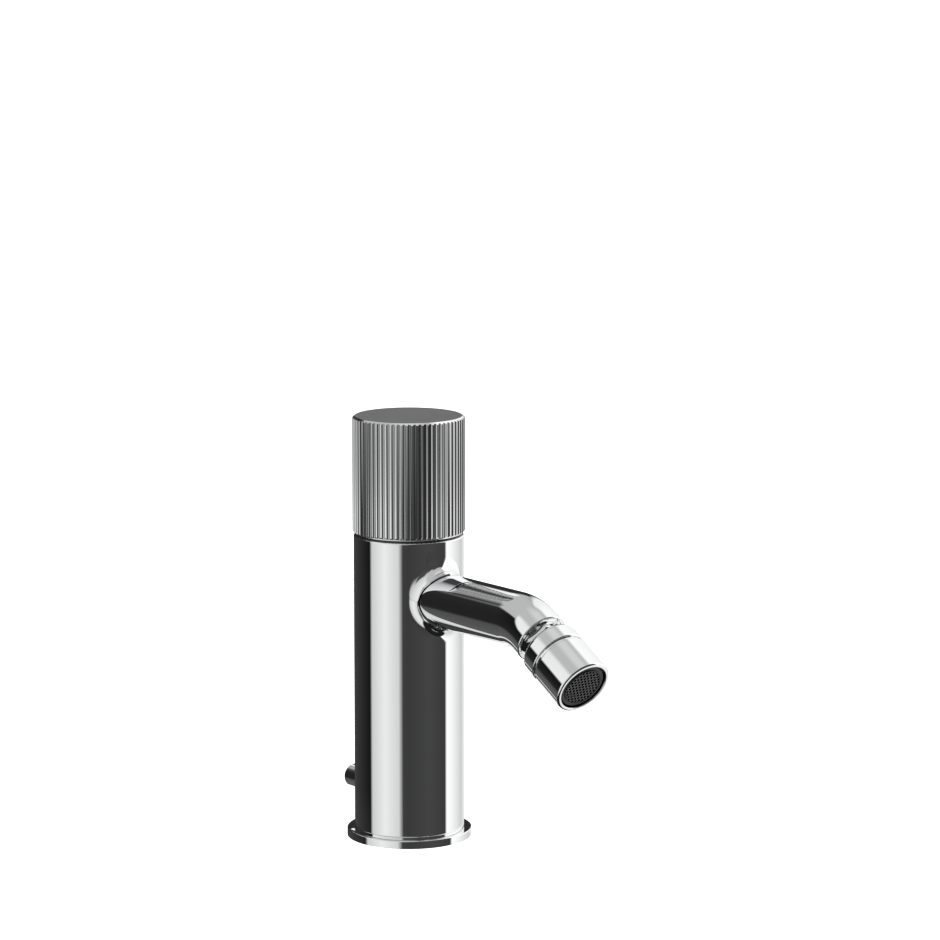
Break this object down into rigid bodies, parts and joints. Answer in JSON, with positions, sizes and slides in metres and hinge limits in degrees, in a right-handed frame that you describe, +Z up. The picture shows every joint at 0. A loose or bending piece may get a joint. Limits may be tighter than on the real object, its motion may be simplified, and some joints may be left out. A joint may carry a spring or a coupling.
{
  "type": "bidet mixer",
  "caption": "Deck-mounted bidet mixer: slim round column, fluted turning knob on top, short bent spout with a swivelling aerator, and a rear lift pin for the pop-up waste.",
  "frame": {"origin": "centre of the base on the deck, on the column's axis, in the plane of the underside", "axes": "+Z up along the column, -Y along the spout, +Y to the lift pin, -X towards the hot inlet"},
  "size_m": [0.0478, 0.1477, 0.1628],
  "materials": {
    "chrome": "polished",
    "brass": "machined",
    "steel": "satin",
    "rubber": "matt",
    "pale_plastic": "satin",
    "ceramic": "lapped",
    "dark_plastic": "satin",
    "orange_plastic": "satin",
    "blue_plastic": "satin"
  },
  "bodies": {
    "column": {"base_flange": "chrome", "base_gasket": "rubber", "valve_body": "brass", "column_shell": "chrome", "spout_collar": "chrome", "spout_tube": "chrome", "spout_o_ring": "rubber", "spout_end": "chrome", "swivel_nipple": "chrome", "swivel_ball": "chrome", "port_seals": "rubber", "cartridge_base": "pale_plastic", "cartridge_body": "pale_plastic", "cartridge_o_ring": "rubber", "fixed_disc": "ceramic", "retaining_nut": "brass", "limit_ring": "orange_plastic", "glide_ring": "dark_plastic", "carriage_guide": "pale_plastic"},
    "knob": {"knob_shell": "chrome", "knob_carrier": "brass", "carrier_screw": "steel", "knob_grub_screw": "steel", "cartridge_stem": "brass", "stem_o_ring": "rubber", "disc_carrier": "pale_plastic", "moving_disc": "ceramic"},
    "lift": {"waste_pin": "chrome", "lift_carriage": "brass", "lift_rod": "steel", "rod_coupler": "brass"},
    "swivel": {"ball_seat": "pale_plastic"},
    "nozzle": {"swivel_ring": "chrome", "aerator_shell": "chrome", "aerator_washer": "rubber", "mesh_screen": "steel", "flow_regulator": "blue_plastic", "aerator_insert": "dark_plastic", "outlet_grille": "dark_plastic"}
  },
  "joints": [
    {"name": "knob_turn", "type": "hinge", "parent": "column", "child": "knob", "pos_m": [0, 0, 0.118], "axis": [0, 0, 1], "range_deg": [0, 100]},
    {"name": "waste_lift", "type": "slide", "parent": "column", "child": "lift", "axis": [0, 0, 1], "range_m": [0, 0.012]},
    {"name": "nozzle_spin", "type": "hinge", "parent": "column", "child": "swivel", "pos_m": [0, -0.08796, 0.0862], "axis": [0, -0.866, -0.5], "continuous": true},
    {"name": "nozzle_tilt", "type": "hinge", "parent": "swivel", "child": "nozzle", "pos_m": [0, -0.08796, 0.0862], "axis": [1, 0, 0], "range_deg": [-10, 10]}
  ]
}
